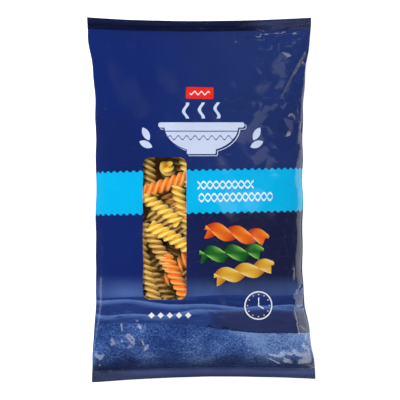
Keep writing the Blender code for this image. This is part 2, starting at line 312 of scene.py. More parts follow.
def ridges(x, y, creases):
    """The height that some creases add, each a sharp ridge that dies away at its two ends."""
    total = np.zeros_like(x)
    for x0, y0, x1, y1, half_width, height in creases:
        start = np.array([x0, y0]) * MM
        run = np.array([x1 - x0, y1 - y0]) * MM
        share = ((x - start[0]) * run[0] + (y - start[1]) * run[1]) / run.dot(run)
        share = np.clip(share, 0.0, 1.0)
        away = np.hypot(x - start[0] - share * run[0], y - start[1] - share * run[1])
        ridge = np.clip(1.0 - away / (half_width * MM), 0.0, 1.0)
        total += height * MM * ridge * np.sin(math.pi * (CREASE_END + (1.0 - 2.0 * CREASE_END) * share))
    return total


def facets(x, y, size, seed):
    """A relief of flat facets that meet in sharp creases, between about -1 and 1."""
    draw = random.Random(seed)
    turn = draw.uniform(0.0, math.pi)
    sway = 0.35 * size
    east = x + sway * waves(x, y, 2.3 * size, seed + 1, 4)
    north = y + sway * waves(x, y, 2.3 * size, seed + 2, 4)
    a = (east * math.cos(turn) + north * math.sin(turn)) / size
    b = (north * math.cos(turn) - east * math.sin(turn)) / size
    lattice = np.random.default_rng(seed).uniform(-1.0, 1.0, (FACET_CELLS, FACET_CELLS))
    column, row = np.floor(a).astype(int), np.floor(b).astype(int)
    share_a, share_b = a - column, b - row

    def corner(da, db):
        return lattice[(column + da) % FACET_CELLS, (row + db) % FACET_CELLS]

    low = corner(0, 0) + share_a * (corner(1, 0) - corner(0, 0)) + share_b * (corner(0, 1) - corner(0, 0))
    high = corner(1, 1) + (1.0 - share_a) * (corner(0, 1) - corner(1, 1))
    high = high + (1.0 - share_b) * (corner(1, 0) - corner(1, 1))
    return np.where(share_a + share_b < 1.0, low, high)


def spot(x, y, x0, y0, reach_x, reach_y):
    """1 at a place given in millimetres, falling softly to 0 about it."""
    return np.exp(-(((x / MM - x0) / reach_x) ** 2) - ((y / MM - y0) / reach_y) ** 2)


def crumple_relief(x, y, across, front):
    """Crumpled film: strongest at the upper right and near the corners and edges, none over the window."""
    edge = smooth((np.abs(across) - 0.80) / 0.18)
    amount = 0.1 + CRUMPLED_AT_EDGE * edge
    for x0, y0, reach_x, reach_y, more in CRUMPLED_AREAS:
        amount = amount + more * spot(x, y, x0, y0, reach_x, reach_y)
    clear = spot(x, y, WINDOW_CENTRE[0] / MM, WINDOW_CENTRE[1] / MM, *CALM_REACH)
    amount = np.where(front, amount * (1.0 - clear), CRUMPLED_ON_BACK)
    wide = CRUMPLE_HEIGHT * facets(x, y, CRUMPLE_SIZE, CRUMPLE_SEED)
    fine = FINE_CRUMPLE_HEIGHT * facets(x, y, FINE_CRUMPLE_SIZE, FINE_CRUMPLE_SEED)
    return amount * (wide + fine)


def seen_from_front(across, along):
    """X and Y of a point of the bag: across is -1 to 1 over its width, along its Y before the ends bow."""
    from_top = HALF_LENGTH - along
    from_bottom = HALF_LENGTH + along
    flare_top = (1.0 - smooth(from_top / TOP_FLARE_LENGTH)) ** 2
    flare_bottom = (1.0 - smooth(from_bottom / BOTTOM_FLARE_LENGTH)) ** 2
    half_width = WAIST_HALF_WIDTH + (TOP_HALF_WIDTH - WAIST_HALF_WIDTH) * flare_top
    half_width += (BOTTOM_HALF_WIDTH - WAIST_HALF_WIDTH) * flare_bottom
    off_seal = smooth((np.minimum(from_top, from_bottom) - SEAL_DEPTH) / SEAL_DEPTH)
    half_width += EDGE_DENT * waves(along, across * HALF_LENGTH, EDGE_DENT_SIZE, EDGE_DENT_SEED) * off_seal
    drift = smooth(from_bottom / DRIFT_LENGTH)
    centre = CENTRE_AT_BOTTOM + (CENTRE_AT_TOP - CENTRE_AT_BOTTOM) * drift
    inner = 1.0 - across**2
    y = along - TOP_BOW * inner * np.exp(-from_top / BOW_REACH)
    y += (BOTTOM_BOW * inner + BOTTOM_SKEW * (1.0 + across)) * np.exp(-from_bottom / BOW_REACH)
    return centre + half_width * across, y


def seal_height(across, end):
    """Height of a seal's middle layer: it sags a little at its corners and waves along its run."""
    run = across * TOP_HALF_WIDTH
    wave = SEAL_WAVE * waves(run, end * HALF_LENGTH, SEAL_WAVE_SIZE, SEAL_WAVE_SEED)
    return SEAL_HEIGHT - SEAL_CORNER_SAG * across**2 + wave


def crimps(x, y, along):
    """The ribs that the sealing jaws press into both ends, faint at the upper left, and folds across them."""
    from_end = HALF_LENGTH - np.abs(along)
    inside = smooth(from_end / CRIMP_MARGIN) * smooth((SEAL_DEPTH - from_end) / CRIMP_MARGIN)
    firm = smooth((x - FAINT_CRIMP_UP_TO) / FAINT_CRIMP_FADE)
    pressed = np.where(along > 0.0, FAINT_CRIMP + (1.0 - FAINT_CRIMP) * firm, 1.0)
    ribs = CRIMP_HEIGHT * np.sin(FULL_TURN * x / CRIMP_PITCH) * inside * pressed
    return ribs + ridges(x, y, SEAL_FOLDS) * smooth(from_end / CRIMP_MARGIN)


def bag_height(across, along, front):
    """Height of the bag's front, where front is true, or else of its back."""
    from_top = np.maximum(BODY_END - along, 0.0)
    from_bottom = np.maximum(BODY_END + along, 0.0)
    from_end = np.minimum(from_top, from_bottom)
    body = swell(from_top, TOP_RISE_LENGTH, TOP_RISE_FULLNESS)
    body = body * swell(from_bottom, BOTTOM_RISE_LENGTH, BOTTOM_RISE_FULLNESS)
    filled = smooth(body / FULL_SECTION_AT)

    seal = seal_height(across, np.sign(along))
    side = seal + (SIDE_HEIGHT - seal) * smooth(body / SIDE_RAISED_AT)
    full = CROWN_HEIGHT - HEADSPACE_DROP * smooth((along - HEADSPACE_START) / HEADSPACE_LENGTH)
    crown = seal + (full - seal) * body
    lift = fade(from_top, UNDER_TOP_LENGTH) + fade(from_bottom, UNDER_BOTTOM_LENGTH)
    under = seal * lift - FLOOR_PRESS * (1.0 - lift)

    square = SEAL_SQUARENESS + (BODY_SQUARENESS - SEAL_SQUARENESS) * filled
    arch = (1.0 - np.abs(across) ** square) ** (1.0 + (FRONT_FULLNESS - 1.0) * filled)
    belly = (1.0 - np.abs(across) ** (square + BACK_SQUARENESS)) ** (1.0 + (BACK_FULLNESS - 1.0) * filled)

    x, y = seen_from_front(across, along)
    off_seal = smooth(from_end / SEAL_DEPTH)
    gathers = GATHER_HEIGHT * waves(x, y / GATHER_STRETCH, GATHER_SIZE, GATHER_SEED)
    gathers = gathers * np.exp(-from_end / GATHER_REACH) * off_seal
    pleats = PLEAT_HEIGHT * waves(x, y / GATHER_STRETCH, PLEAT_SIZE, PLEAT_SEED)
    gathers = gathers + pleats * np.exp(-from_end / PLEAT_REACH) * off_seal
    crumpled = crumple_relief(x, y, across, front) * off_seal
    lumps = LUMP_HEIGHT * waves(x, y, LUMP_SIZE, LUMP_SEED)
    relief = gathers + lumps * filled + ridges(x, y, CREASES) * off_seal + crumpled
    half_seal = 0.5 * SEAL_THICKNESS
    front_z = side + half_seal + (crown - side + relief) * arch
    seam = smooth(0.5 + (0.5 * SEAM_WIDTH - np.abs(x - CENTRE_AT_TOP)) / SEAM_EDGE)
    back_z = side - half_seal - (side - under - gathers - crumpled) * belly - SEAM_STEP * seam
    z = np.where(front, front_z, back_z)
    z = np.where(np.abs(across) > TUBE_EDGE, side, z) + crimps(x, y, along)
    return np.maximum(z, np.where(front, 0.0, SEAM_STEP * (1.0 - seam)))


def station(row):
    """The Y of a ring of the tube: even in the seals, and closer together near the seals than mid-way."""
    end_share = np.where(row < SEAL_ROWS, row, ROWS - row) / SEAL_ROWS
    share = (row - SEAL_ROWS) / BODY_ROWS
    share = share - END_CROWDING * np.sin(FULL_TURN * share) / FULL_TURN
    body = (2.0 * share - 1.0) * BODY_END
    seal = np.sign(row - SEAL_ROWS - 0.5 * BODY_ROWS) * (HALF_LENGTH - SEAL_DEPTH * end_share)
    in_seal = (row < SEAL_ROWS) | (row > SEAL_ROWS + BODY_ROWS)
    return np.where(in_seal, seal, body)


def places(mesh):
    """The mesh's vertex positions as an array with three columns."""
    found = np.empty(3 * len(mesh.vertices))
    mesh.vertices.foreach_get("co", found)
    return found.reshape(-1, 3)


def put_places(mesh, found):
    """Moves the mesh's vertices to the positions."""
    mesh.vertices.foreach_set("co", np.ascontiguousarray(found, dtype=float).ravel())
    mesh.update()


def corner_vertices(mesh):
    """The vertex of each face corner."""
    found = np.empty(len(mesh.loops), dtype=int)
    mesh.loops.foreach_get("vertex_index", found)
    return found


def start_piece(name):
    """Names the primitive just added and opens it in edit mode, with nothing selected."""
    piece = bpy.context.active_object
    piece.name = name
    piece.data.name = name
    bpy.ops.object.mode_set(mode="EDIT")
    bpy.ops.mesh.select_all(action="DESELECT")
    return piece


def choose(piece, kind, test):
    """In edit mode, selects only the vertices, edges or faces that pass the test."""
    bpy.ops.mesh.select_all(action="DESELECT")
    bpy.ops.mesh.select_mode(type={"verts": "VERT", "edges": "EDGE", "faces": "FACE"}[kind])
    form = bmesh.from_edit_mesh(piece.data)
    for item in getattr(form, kind):
        if test(item):
            item.select_set(True)
    bmesh.update_edit_mesh(piece.data)


def end_piece(piece):
    """Leaves edit mode and rounds the piece's shading."""
    bpy.ops.object.mode_set(mode="OBJECT")
    piece.data.shade_smooth()
    piece.select_set(False)
    return piece


def is_upright(edge):
    return abs(edge.verts[0].co.z - edge.verts[1].co.z) > 0.5


def film_tube():
    """A capped tube of height 2, with a ring for each row of the film."""
    bpy.ops.object.select_all(action="DESELECT")
    bpy.ops.mesh.primitive_cylinder_add(vertices=AROUND, radius=1.0, depth=2.0, end_fill_type="NGON")
    film = start_piece("film")
    choose(film, "edges", is_upright)
    bpy.ops.mesh.subdivide(number_cuts=ROWS - 1)
    seal_share = 2.0 * SEAL_ROWS / ROWS

    def is_round_seam(edge):
        low, high = sorted(abs(v.co.z) for v in edge.verts)
        return high - low < 0.1 / ROWS and low > 1.0 - seal_share - 0.5 / ROWS

    choose(film, "edges", is_round_seam)
    bpy.ops.mesh.subdivide(number_cuts=SEAL_CUTS)
    bpy.ops.object.mode_set(mode="OBJECT")
    return film


def lay_film_map(film, turn, row):
    """A UV map in metres: U is the way round the film from the middle of its front, V the way along it."""
    spots = places(film.data)
    angle = (0.5 * math.pi - turn + math.pi) % FULL_TURN - math.pi
    round_front = np.zeros(len(spots))
    for ring in np.unique(row):
        members = np.flatnonzero(row == ring)
        members = members[np.argsort(angle[members])]
        steps = np.linalg.norm(np.diff(spots[members], axis=0), axis=1)
        way = np.concatenate([[0.0], np.cumsum(steps)])
        front = np.abs(angle[members]) < 0.5 * math.pi
        middle = np.interp(0.0, spots[members[front], 0], way[front])
        round_front[members] = way - middle
    chart = film.data.uv_layers.new(name="film_map")
    corners = corner_vertices(film.data)
    u = round_front[corners]
    starts = np.empty(len(film.data.polygons), dtype=int)
    film.data.polygons.foreach_get("loop_start", starts)
    highest = np.maximum.reduceat(u, starts)
    lowest = np.minimum.reduceat(u, starts)
    owner = np.repeat(np.arange(len(starts)), np.diff(np.append(starts, len(corners))))
    around = 4.0 * TOP_HALF_WIDTH
    crosses = (highest - lowest > TOP_HALF_WIDTH)[owner] & (u < 0.0)
    chart.data.foreach_set("uv", np.column_stack([u + around * crosses, station(row)[corners]]).ravel())


def make_film():
    """The bag's film, front, back and both seals, as one closed skin."""
    film = film_tube()
    spots = places(film.data)
    row = np.rint((spots[:, 2] + 1.0) * 0.5 * ROWS)
    turn = np.arctan2(spots[:, 1], spots[:, 0])
    across = np.cos(turn)
    along = station(row)
    x, y = seen_from_front(across, along)
    z = bag_height(across, along, np.sin(turn) > 0.0)
    put_places(film.data, np.column_stack([x, y, z]))
    lay_film_map(film, turn, row)
    film.data.flip_normals()
    return end_piece(film)


def film_height(x, y):
    """Height of the bag's front over places near the window."""
    across = np.clip((x - CENTRE_AT_TOP) / WAIST_HALF_WIDTH, -ACROSS_LIMIT, ACROSS_LIMIT)
    return bag_height(across, y, True)


def spiral_blank():
    """One pasta spiral along X: a bar with three rounded blades, twisted to the left."""
    points = BLADES * BLADE_POINTS
    bpy.ops.object.select_all(action="DESELECT")
    bpy.ops.mesh.primitive_cylinder_add(vertices=points, radius=1.0, depth=1.0, end_fill_type="TRIFAN")
    spiral = start_piece("spiral")
    choose(spiral, "edges", is_upright)
    bpy.ops.mesh.subdivide(number_cuts=SPIRAL_RINGS - 1)
    bpy.ops.object.mode_set(mode="OBJECT")
    spots = places(spiral.data)
    turn = np.arctan2(spots[:, 1], spots[:, 0])
    off_axis = np.hypot(spots[:, 0], spots[:, 1]) > 0.01
    blade = (turn / FULL_TURN * BLADES + 0.5) % 1.0 - 0.5
    reach = smooth(1.0 - np.abs(blade) / BLADE_HALF_SPAN)
    radius = CORE_SHARE + (1.0 - CORE_SHARE) * reach**BLADE_ROUNDNESS
    turn = turn - blade * FULL_TURN / BLADES * (BLADE_THINNING * reach)
    along = spots[:, 2]
    turn = turn - FULL_TURN * along * SPIRAL_LENGTH / SPIRAL_LEAD
    radius = np.where(off_axis, radius * SPIRAL_RADIUS, 0.0)
    spots = np.column_stack([along * SPIRAL_LENGTH, radius * np.cos(turn), radius * np.sin(turn)])
    put_places(spiral.data, spots)
    chart = spiral.data.uv_layers.new(name="pasta_map")
    corners = corner_vertices(spiral.data)
    fraction = np.column_stack([along + 0.5, radius / SPIRAL_RADIUS])[corners]
    chart.data.foreach_set("uv", (0.002 + 0.996 * fraction).ravel())
    spiral.data.flip_normals()
    return end_piece(spiral)


def lay_spiral(blank, name, x, y, heading, tilt, roll, below, draw):
    """A copy of the spiral, a little bent and stretched, put at a place from the window's middle."""
    piece = blank.copy()
    piece.data = blank.data.copy()
    piece.name = name
    bpy.context.scene.collection.objects.link(piece)
    spots = places(piece.data)
    turn = math.radians(roll)
    side = spots[:, 1] * math.cos(turn) - spots[:, 2] * math.sin(turn)
    up = spots[:, 1] * math.sin(turn) + spots[:, 2] * math.cos(turn)
    share = spots[:, 0] / SPIRAL_LENGTH
    bow = draw.uniform(-SPIRAL_BOW, SPIRAL_BOW)
    girth = draw.uniform(*SPIRAL_GIRTHS)
    ripple = RIPPLE_HEIGHT * np.sin(60.0 * share + draw.uniform(0.0, 6.0))
    spots = np.column_stack([
        spots[:, 0] * draw.uniform(*SPIRAL_STRETCHES),
        side * girth + bow * (1.0 - 4.0 * share**2) + ripple,
        up * girth + ripple,
    ])
    put_places(piece.data, spots)
    put_it = Matrix.Translation((WINDOW_CENTRE[0] + x * MM, WINDOW_CENTRE[1] + y * MM, 0.0))
    put_it = put_it @ Matrix.Rotation(math.radians(heading), 4, "Z")
    put_it = put_it @ Matrix.Rotation(math.radians(-tilt), 4, "Y")
    piece.data.transform(put_it)
    spots = places(piece.data)
    room = (film_height(spots[:, 0], spots[:, 1]) - spots[:, 2]).min()
    piece.data.transform(Matrix.Translation((0.0, 0.0, room - FILM_GAP - below * MM)))
    return piece


def make_pasta():
    """The pasta behind the window: one joined piece for each kind of spiral."""
    blank = spiral_blank()
    draw = random.Random(HEAP_SEED)
    heaps = {kind: [] for kind in PASTA_TONES_SHADE_TO_HIGHLIGHT}
    for number, (x, y, heading, tilt, roll, below, kind) in enumerate(TOP_SPIRALS):
        piece = lay_spiral(blank, f"top_{number}", x, y, heading, tilt, roll, below, draw)
        heaps[kind].append(piece)
    kinds = list(heaps)
    for level, below in enumerate(LAYERS_BELOW):
        for step in range(LAYER_SPIRALS):
            x = LAYER_COLUMNS[step % len(LAYER_COLUMNS)] + draw.uniform(*STRAY["x"])
            y = LAYER_TOP - LAYER_STEP * step + draw.uniform(*STRAY["y"])
            angles = [draw.uniform(*limits) for limits in ANGLES.values()]
            deeper = below + draw.uniform(*STRAY["below"])
            piece = lay_spiral(blank, f"low_{level}_{step}", x, y, *angles, deeper, draw)
            heaps[kinds[draw.randrange(len(kinds))]].append(piece)
    bpy.data.objects.remove(blank)
    joined = []
    for kind, members in heaps.items():
        bpy.ops.object.select_all(action="DESELECT")
        for member in members:
            member.select_set(True)
        bpy.context.view_layer.objects.active = members[0]
        bpy.ops.object.join()
        heap = bpy.context.active_object
        heap.name = f"spirals_{kind}"
        heap.data.name = heap.name
        joined.append(heap)
    return joined


class Wire:
    """A value in a material's nodes. Sums written on it in Python add their Math nodes."""

    def __init__(self, tree, socket):
        self.tree = tree
        self.socket = socket

    def node(self, kind, sockets=(), output=0, stops=None, **settings):
        """Adds any other node: its settings come first, then the values or links of its sockets."""
        made = self.tree.nodes.new("ShaderNode" + kind)
        for name, value in settings.items():
            setattr(made, name, value)
        if stops:
            elements = made.color_ramp.elements
            while len(elements) < len(stops):
                elements.new(0.5)
            for element, (position, colour) in zip(elements, stops):
                element.position = position
                element.color = colour
        for key, value in dict(sockets).items():
            if isinstance(value, Wire):
                self.tree.links.new(value.socket, made.inputs[key])
            else:
                made.inputs[key].default_value = value
        return Wire(self.tree, made.outputs[output])

    def math(self, operation, *others, clamp=False):
        values = dict(enumerate((self,) + others))
        return self.node("Math", values, operation=operation, use_clamp=clamp)

    def _flip(self, operation, other):
        return self.node("Math", {0: other, 1: self}, operation=operation)

    def __add__(self, other):
        return self.math("ADD", other)

    __radd__ = __add__

    def __sub__(self, other):
        return self.math("SUBTRACT", other)

    def __rsub__(self, other):
        return self._flip("SUBTRACT", other)

    def __mul__(self, other):
        return self.math("MULTIPLY", other)

    __rmul__ = __mul__

    def __truediv__(self, other):
        return self.math("DIVIDE", other)

    def __rtruediv__(self, other):
        return self._flip("DIVIDE", other)

    def __abs__(self):
        return self.math("ABSOLUTE")

    def __neg__(self):
        return self * -1.0


def least(a, b):
    return a.math("MINIMUM", b)


def most(a, b):
    return a.math("MAXIMUM", b)


def clamp(a):
    return a.math("ADD", 0.0, clamp=True)


def sine(a):
    return a.math("SINE")


def wavy(a, pitch, height):
    return sine(a * (FULL_TURN / pitch)) * height


def length(a, b):
    return (a * a + b * b).math("SQRT")


def rise(value, low, high):
    """0 below low, 1 above high, and an eased step between."""
    sockets = {"Value": value, "From Min": low, "From Max": high}
    return value.node("MapRange", sockets, interpolation_type="SMOOTHSTEP")


def blend(bottom, top, mask):
    """One colour over another where the mask is 1. A Mix node's colours are 6, 7 and output 2."""
    return mask.node("Mix", {0: mask, 6: bottom, 7: top}, output=2, data_type="RGBA")


def noise(where, scale, detail=2.0, roughness=0.5):
    """Cloudy noise between about 0 and 1, where the scale is in features for each metre."""
    sockets = {"Vector": where, "Scale": scale, "Detail": detail, "Roughness": roughness}
    return where.node("TexNoise", sockets)


def line_distance(u, v, start, end, half_width):
    """Signed distance to a straight stroke with round ends."""
    run = (end[0] - start[0], end[1] - start[1])
    size = run[0] ** 2 + run[1] ** 2
    du, dv = u - start[0], v - start[1]
    share = clamp((du * run[0] + dv * run[1]) / size)
    return length(du - share * run[0], dv - share * run[1]) - half_width


def fine_creases(x, y):
    """Height of the film's sharp fine creases."""
    height = None
    for x0, y0, x1, y1, half_width, lift in FINE_CREASES:
        away = line_distance(x, y, (x0 * MM, y0 * MM), (x1 * MM, y1 * MM), 0.0)
        ridge = most(1.0 - away * (1.0 / (half_width * MM)), 0.0) * (lift * MM)
        height = ridge if height is None else most(height, ridge)
    return height


def flat_facets(where, scale, slope):
    """Height of a skin of flat facets, each tilted its own way by up to half the slope."""
    bent = {"Vector": where, "Scale": 0.5 * scale, "Detail": 1.0}
    swirl = where.node("TexNoise", bent, output="Color")
    bend = (0.8 / scale,) * 3
    warped = where.node("VectorMath", {0: swirl, 1: bend, 2: where}, operation="MULTIPLY_ADD")
    cells = {"Vector": warped, "Scale": scale}
    tilt = where.node("TexVoronoi", cells, output="Color", voronoi_dimensions="2D")
    middle = Wire(where.tree, tilt.socket.node.outputs["Position"])
    offset = where.node("VectorMath", {0: warped, 1: middle}, operation="SUBTRACT")
    east = where.node("SeparateXYZ", {0: offset}, output="X")
    north = where.node("SeparateXYZ", {0: offset}, output="Y")
    tilt_east = where.node("SeparateXYZ", {0: tilt}, output="X") - 0.5
    tilt_north = where.node("SeparateXYZ", {0: tilt}, output="Y") - 0.5
    return (tilt_east * east + tilt_north * north) * slope


def crumple_amount(x, y):
    """How crumpled the film is at a place, from a little to fully."""
    amount = None
    for x0, y0, reach_x, reach_y, strength in CRUMPLED_SPOTS:
        away = length((x - x0 * MM) / (reach_x * MM), (y - y0 * MM) / (reach_y * MM))
        spot_amount = strength * rise(1.0 - away, 0.0, 0.7)
        amount = spot_amount if amount is None else most(amount, spot_amount)
    return most(amount, 0.05)


PRINT_EDGE = 0.18 * MM


def printed(distance, edge=PRINT_EDGE):
    """1 inside a shape and 0 outside it, from the signed distance to its outline."""
    return clamp(0.5 - distance / edge)


def turned(u, v, centre, degrees):
    """Coordinates along and across a direction, from a centre."""
    c, s = math.cos(math.radians(degrees)), math.sin(math.radians(degrees))
    du, dv = u - centre[0], v - centre[1]
    return du * c + dv * s, dv * c - du * s


def box_distance(s, t, half_s, half_t, corner):
    """Signed distance to a rounded rectangle about the origin."""
    out_s = abs(s) - (half_s - corner)
    out_t = abs(t) - (half_t - corner)
    outside = length(most(out_s, 0.0), most(out_t, 0.0))
    return outside + least(most(out_s, out_t), 0.0) - corner


def new_material(name):
    """An empty node material, its tree and its output node."""
    material = bpy.data.materials.new(name)
    material.use_nodes = True
    tree = material.node_tree
    tree.nodes.clear()
    output = tree.nodes.new("ShaderNodeOutputMaterial")
    return material, tree, output


ROYAL = srgb("#11276c")
UPPER_BLUE = srgb("#1f326d")
NAVY = srgb("#191d42")
# The top seal: painted shade, and a paler painted reflection over its right part
HEAD_SEAL_SHADE = srgb("#070e30")
SEAL_SHEEN_PALE = srgb("#262f56")
# The bottom seal: a grey-blue painted sheen, bright and dim
FOOT_SEAL_SHEEN = srgb("#465384")
FOOT_SEAL_DIM_SHEEN = srgb("#343e62")
SKY = srgb("#00bcf4")
PALE = srgb("#cdd8f4")
RED = srgb("#ee2a1e")
WHITE = srgb("#f4f6fb")
GLOW = srgb("#5672b4")
FAR_CREST = srgb("#23397c")
FAR_FOOT = srgb("#1b2f6a")
MID_CREST = srgb("#5a78b8")
MID_FOOT = srgb("#23397a")
NEAR_FOOT = srgb("#27407f")
# The print's dark wood, also the painted shade along the bag's foot
WOOD_AND_FOOT_SHADE = srgb("#15204a")
DUSK = srgb("#2b3059")
FIELD = srgb("#3c5da2")
FIELD_LIGHT = srgb("#7c9bd2")
FIELD_DARK = srgb("#213a78")


def ramp(*codes):
    """Four colours from a printed spiral's shade to its glint, each with its place on the ramp."""
    return tuple(zip((0.0, 0.4, 0.75, 1.0), (srgb(code) for code in codes)))


# Three printed spirals: middle, heading in degrees, half length, and colours
PRINTED_SPIRALS = (
    (mm(27.0, -26.0), -8.0, 25.0 * MM, ramp("#c23a10", "#ee6a1c", "#f69636", "#fcc890")),
    (mm(33.0, -54.5), 12.0, 24.0 * MM, ramp("#c07c1c", "#e2ae38", "#efcc6c", "#fbeab8")),
    (mm(23.0, -40.5), 3.0, 25.0 * MM, ramp("#0a2a18", "#23682a", "#6cb040", "#b4e088")),
)
PRINTED_RADIUS = 6.6 * MM

# Two twisted cords on the band: middle, half length and swing
CORDS = (
    (mm(18.6, 11.6), 21.5 * MM, 2.6 * MM),
    (mm(26.6, 2.2), 28.5 * MM, 2.8 * MM),
)
CORD_PITCH = 9.6 * MM
CORD_LINE = 0.75 * MM

# The rest of the print: boxes as half lengths and a corner's radius, waves as pitch and height
BAND_V = 6.4 * MM
BAND_RISE = 0.0188
BAND_HALF_WIDTH = 16.3 * MM
BAND_WAVE = mm(5.35, 0.75)
TAG_CENTRE = mm(-1.2, 82.1)
TAG_BOX = mm(10.5, 4.6, 1.0)
TAG_WAVE = mm(5.2, 1.2)
BOWL_TOP = 56.5 * MM
BOWL_RADIUS = 19.5 * MM
BOWL_STRETCH = 1.45
BOWL_FOOT = mm(11.0, 2.0, 1.0)
BOWL_RIM = mm(33.0, 2.0, 1.8)
BOWL_WAVE = mm(6.4, 1.5)
STEAM_PLACES = (-12.0, 0.0, 12.0)
STEAM_V = 68.5 * MM
STEAM_HALF_HEIGHT = 6.2 * MM
LEAF_PLACE = mm(42.5, 50.5)
LEAF_HEADINGS = (62.0, 24.0)
DIAL_CENTRE = mm(44.0, -80.8)
DIAL_RADIUS = 10.6 * MM
TICK_RADIUS = 8.6 * MM
HOURS = 12.0
HANDS = (mm(0.0, 5.8), mm(3.6, -2.2))
LOZENGES_CENTRE = mm(-24.0, -88.2)
LOZENGE_PITCH = 7.0 * MM
LOZENGE_SIZE = 2.4 * MM
LOZENGES_REACH = 17.5 * MM

# Hills from far to near: crest, its slow waves, bristle, colours of crest and foot, fade and mottling
HILLS = (
    (-0.0740, ((0.0012, 0.31, 0.6), (0.0006, 0.07, 0.0)), 0.0008, FAR_CREST, FAR_FOOT, 0.0035, 0.25),
    (-0.0790, ((0.0026, 0.26, 3.6), (0.0009, 0.06, 1.0)), 0.0010, MID_CREST, MID_FOOT, 0.0045, 0.55),
    (-0.0850, ((0.0030, 0.21, 0.2), (0.0011, 0.05, 2.0)), 0.0016, MID_CREST, NEAR_FOOT, 0.0050, 0.75),
)


def sea_of_blue(u, v, cloud):
    """The film's ground: royal blue on the left, navy on the lower right."""
    to_right = rise(u, -0.055, 0.035)
    upper = blend(ROYAL, UPPER_BLUE, to_right)
    lower = blend(ROYAL, NAVY, to_right)
    ground = blend(lower, upper, rise(v, -0.012, 0.02))
    return blend(ground, NAVY, 0.35 * rise(cloud, 0.45, 0.8))


def hill_line(u, v, height, swings, rough):
    """How far a place lies below the crest of a hill, whose line is a height and some slow waves."""
    crest = height + rough
    for swing, pitch, shift in swings:
        crest = crest + swing * sine(u * (FULL_TURN / pitch) + shift)
    return crest - v


def hills(ground, u, v, drift, rough, strokes):
    """Three rows of mottled hills, one before the other."""
    for height, swings, bristle, crest, foot, fall, mottle in HILLS:
        below = hill_line(u, v, height, swings, bristle * rough)
        slope = blend(crest, foot, rise(below + 0.004 * drift, 0.0, fall))
        slope = blend(slope, FIELD, mottle * rise(strokes, 0.50, 0.72))
        slope = blend(slope, WOOD_AND_FOOT_SHADE, mottle * (1.0 - rise(strokes, 0.28, 0.46)))
        ground = blend(ground, slope, printed(-below))
    return ground


def woolly_field(ground, u, v, where, rough, fall, to_right):
    """A field of fine tufts in front of the hills, with painted shade along its foot where the film curves
    down to the bottom seal.
    """
    below = hill_line(u, v, fall, (), 0.0022 * rough)
    slant = {"Vector": where, "Rotation": (0.0, 0.0, 0.5), "Scale": (1.0, 2.0, 1.0)}
    slanted = where.node("Mapping", slant)
    wool = noise(where, 620.0, 3.0, 0.65)
    tufts = noise(slanted, 95.0, 3.0, 0.6)
    patches = noise(where, 26.0, 2.0)
    lit = 0.7 * wool + 0.3 * tufts + 0.6 * (patches - 0.5) + 0.12 * (to_right - 0.4)
    field = blend(FIELD_DARK, FIELD, rise(lit, 0.34, 0.50))
    field = blend(field, FIELD_LIGHT, rise(lit, 0.46, 0.68))
    # Painted shade: the field darkens to the wood's colour just above the bottom seal, where the film curves
    # down
    field = blend(field, WOOD_AND_FOOT_SHADE, 0.85 * (1.0 - rise(v + 0.012 * (patches - 0.5), -0.131, -0.117)))
    return blend(ground, field, printed(-below))


def landscape(ground, u, v, where):
    """Hills under a dim glow, and a woolly field in front of them, along the foot of the bag."""
    drift = noise(where, 22.0, 3.0) - 0.5
    rough = noise(where, 420.0, 4.0, 0.6) - 0.5
    streaks = where.node("Mapping", {"Vector": where, "Scale": (0.35, 2.2, 1.0)})
    strokes = noise(streaks, 170.0, 4.0, 0.6)

    glow = rise(v, -0.079, -0.072) * (1.0 - rise(v, -0.072, -0.056))
    left = 1.0 - 0.25 * rise(u, -0.03, 0.05)
    ground = blend(ground, GLOW, glow * left * clamp(0.62 + 1.6 * drift))
    ground = hills(ground, u, v, drift, rough, strokes)

    bushes = noise(where, 130.0, 3.0, 0.6)
    to_right = rise(u, -0.03, 0.055)
    dusk = 0.8 * rise(u + 0.06 * (bushes - 0.5), 0.0, 0.02) * (1.0 - rise(v, -0.087, -0.082))
    ground = blend(ground, DUSK, dusk)
    fall = -0.0945 - 0.0085 * to_right
    thicket = hill_line(u, v, fall + 0.001, (), 0.011 * (bushes - 0.5))
    wooded = 0.85 * printed(-thicket) * rise(u, -0.045, 0.02) * (1.0 - rise(u, 0.03, 0.06))
    ground = blend(ground, WOOD_AND_FOOT_SHADE, wooded)
    return woolly_field(ground, u, v, where, rough, fall, to_right)


def pale_band(ground, u, v):
    """The pale blue band across the bag, both its edges cut in small round waves."""
    middle = BAND_V + BAND_RISE * u
    distance = abs(v - middle) - BAND_HALF_WIDTH - wavy(u, *BAND_WAVE)
    return blend(ground, SKY, printed(distance))


def twisted_cord(u, v, centre, half_length, swing):
    """Mask of two waves that cross each other, like a twisted cord."""
    s, t = turned(u, v, centre, 1.0)
    wave = wavy(s, CORD_PITCH, swing)
    cord = least(abs(t - wave), abs(t + wave)) - CORD_LINE
    return printed(most(cord, abs(s) - half_length))


def bowl_shape(u, v, shift):
    """Signed distance to the bowl with its rim and foot, moved right and down by the shift."""
    s, t = u - shift, v - BOWL_TOP + shift
    body = length(s / BOWL_STRETCH, t) - BOWL_RADIUS
    foot = box_distance(s, t + BOWL_RADIUS, *BOWL_FOOT)
    rim = box_distance(s, t - 0.8 * MM, *BOWL_RIM)
    return least(least(most(body, t), foot), rim)


